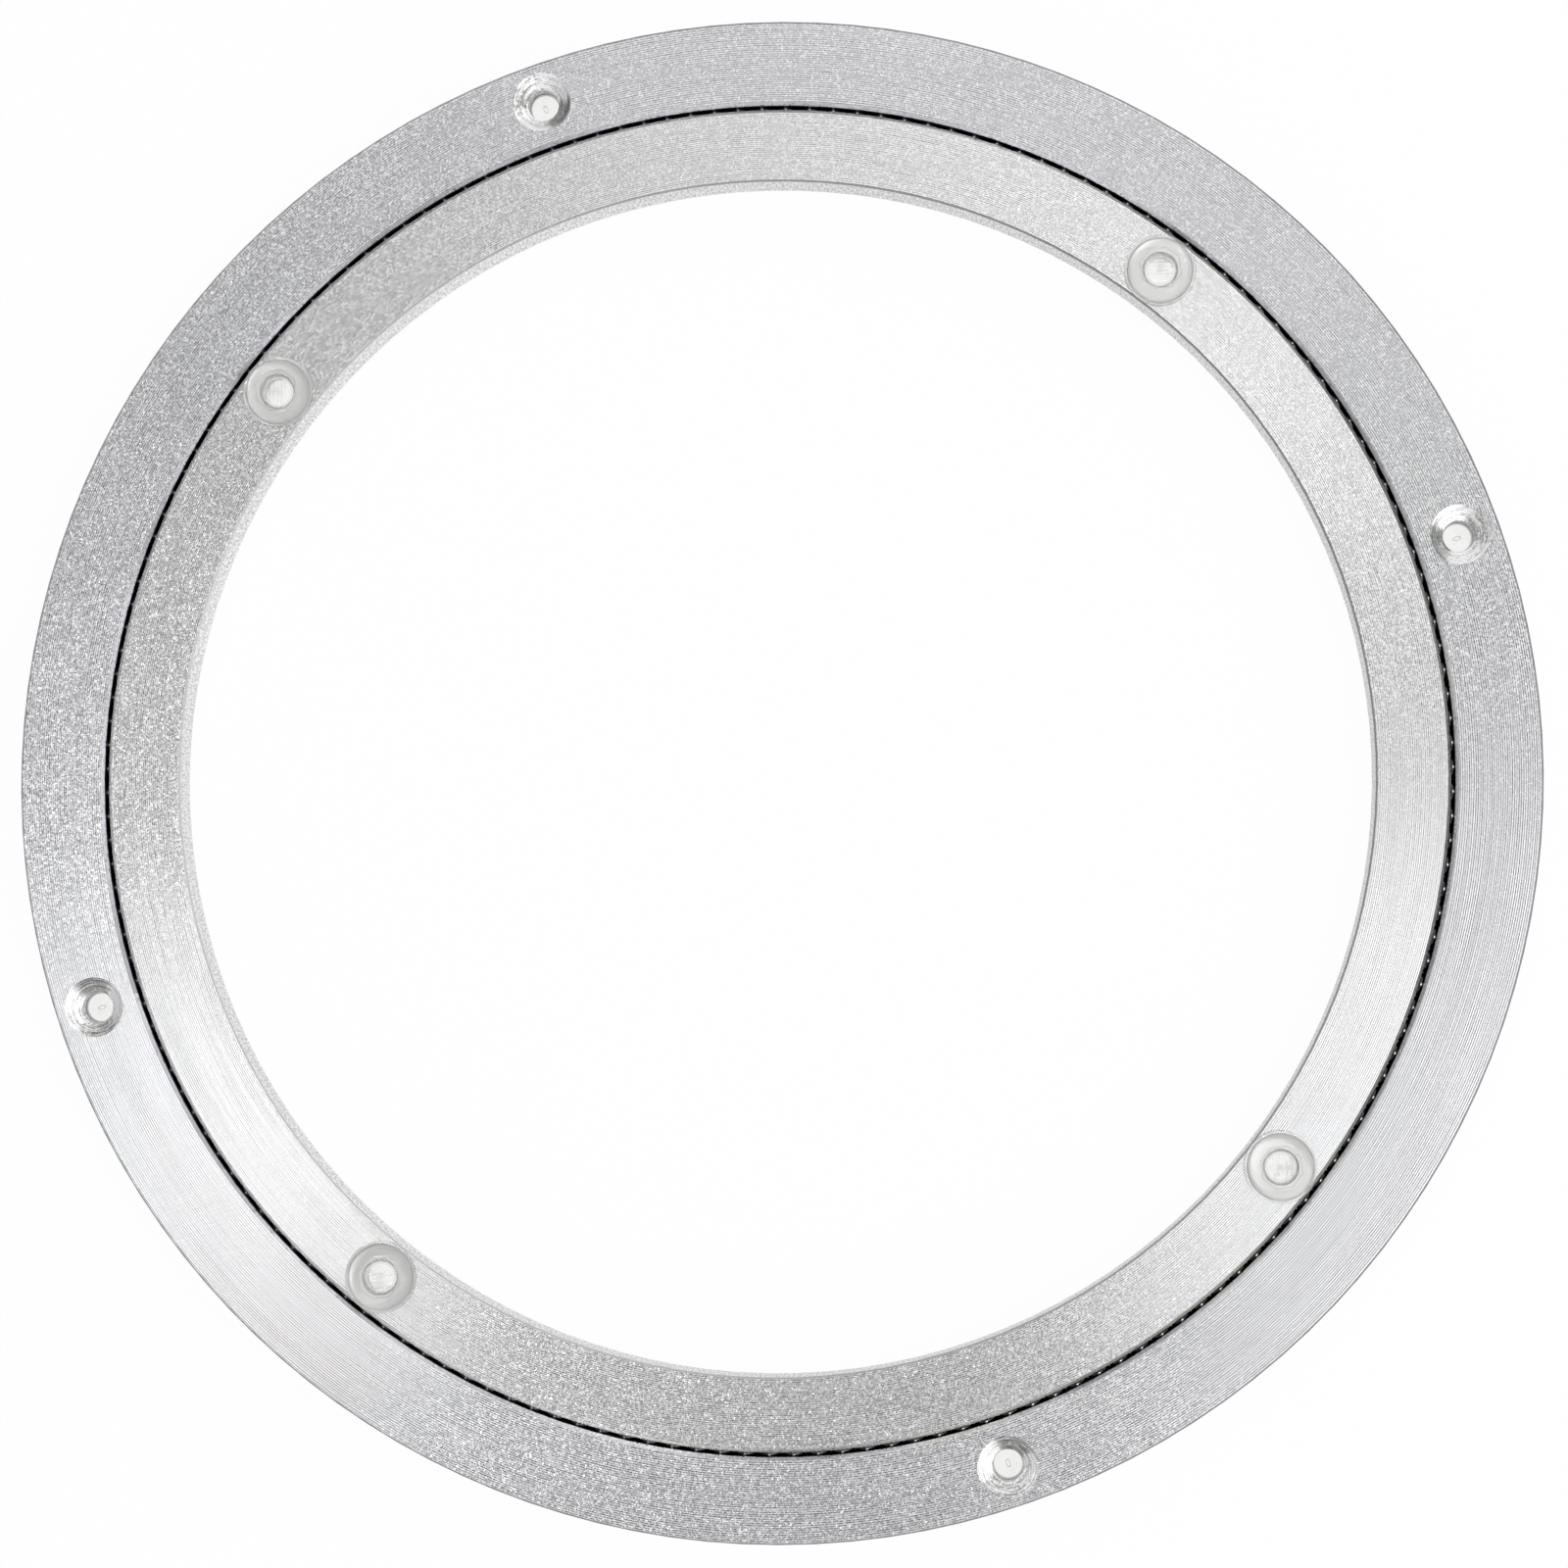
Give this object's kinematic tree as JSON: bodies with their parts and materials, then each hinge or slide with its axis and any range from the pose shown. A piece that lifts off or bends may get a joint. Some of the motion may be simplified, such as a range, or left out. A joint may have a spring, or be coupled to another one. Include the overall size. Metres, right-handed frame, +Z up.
{
  "type": "lazy susan bearing",
  "caption": "Flat turntable bearing: an aluminium ring turns inside another on a row of steel balls, with clear rubber pads above and feet below, and countersunk screw holes.",
  "frame": {"origin": "on the turning axis, in the plane that the four feet stand on", "axes": "+Z up along the turning axis, from the feet to the pads; +X through one screw hole of the outer ring"},
  "size_m": [0.3, 0.3, 0.0135],
  "materials": {
    "outer_ring_metal": "satin anodised over fine turned grooves, faintly bluish",
    "inner_ring_metal": "satin anodised over fine turned grooves, sanded bore wall",
    "ball_steel": "polished bearing steel",
    "plug_steel": "dark set screw steel",
    "clear_rubber": "clear soft rubber, glossy, lightly scratched"
  },
  "bodies": {
    "outer": {"outer_ring": "outer_ring_metal", "filling_plug": "plug_steel", "foot_1": "clear_rubber", "foot_2": "clear_rubber", "foot_3": "clear_rubber", "foot_4": "clear_rubber"},
    "inner": {"inner_ring": "inner_ring_metal", "pad_1": "clear_rubber", "pad_2": "clear_rubber", "pad_3": "clear_rubber", "pad_4": "clear_rubber"},
    "balls": {"bearing_balls": "ball_steel"}
  },
  "joints": [
    {"name": "ring_spin", "type": "hinge", "parent": "outer", "child": "inner", "pos_m": [0, 0, 0.00675], "axis": [0, 0, 1], "continuous": true},
    {"name": "ball_orbit", "type": "hinge", "parent": "outer", "child": "balls", "pos_m": [0, 0, 0.00675], "axis": [0, 0, 1], "continuous": true}
  ],
  "couplings": [
    {"joint": "ball_orbit", "follows": "ring_spin", "ratio": 0.49103}
  ]
}
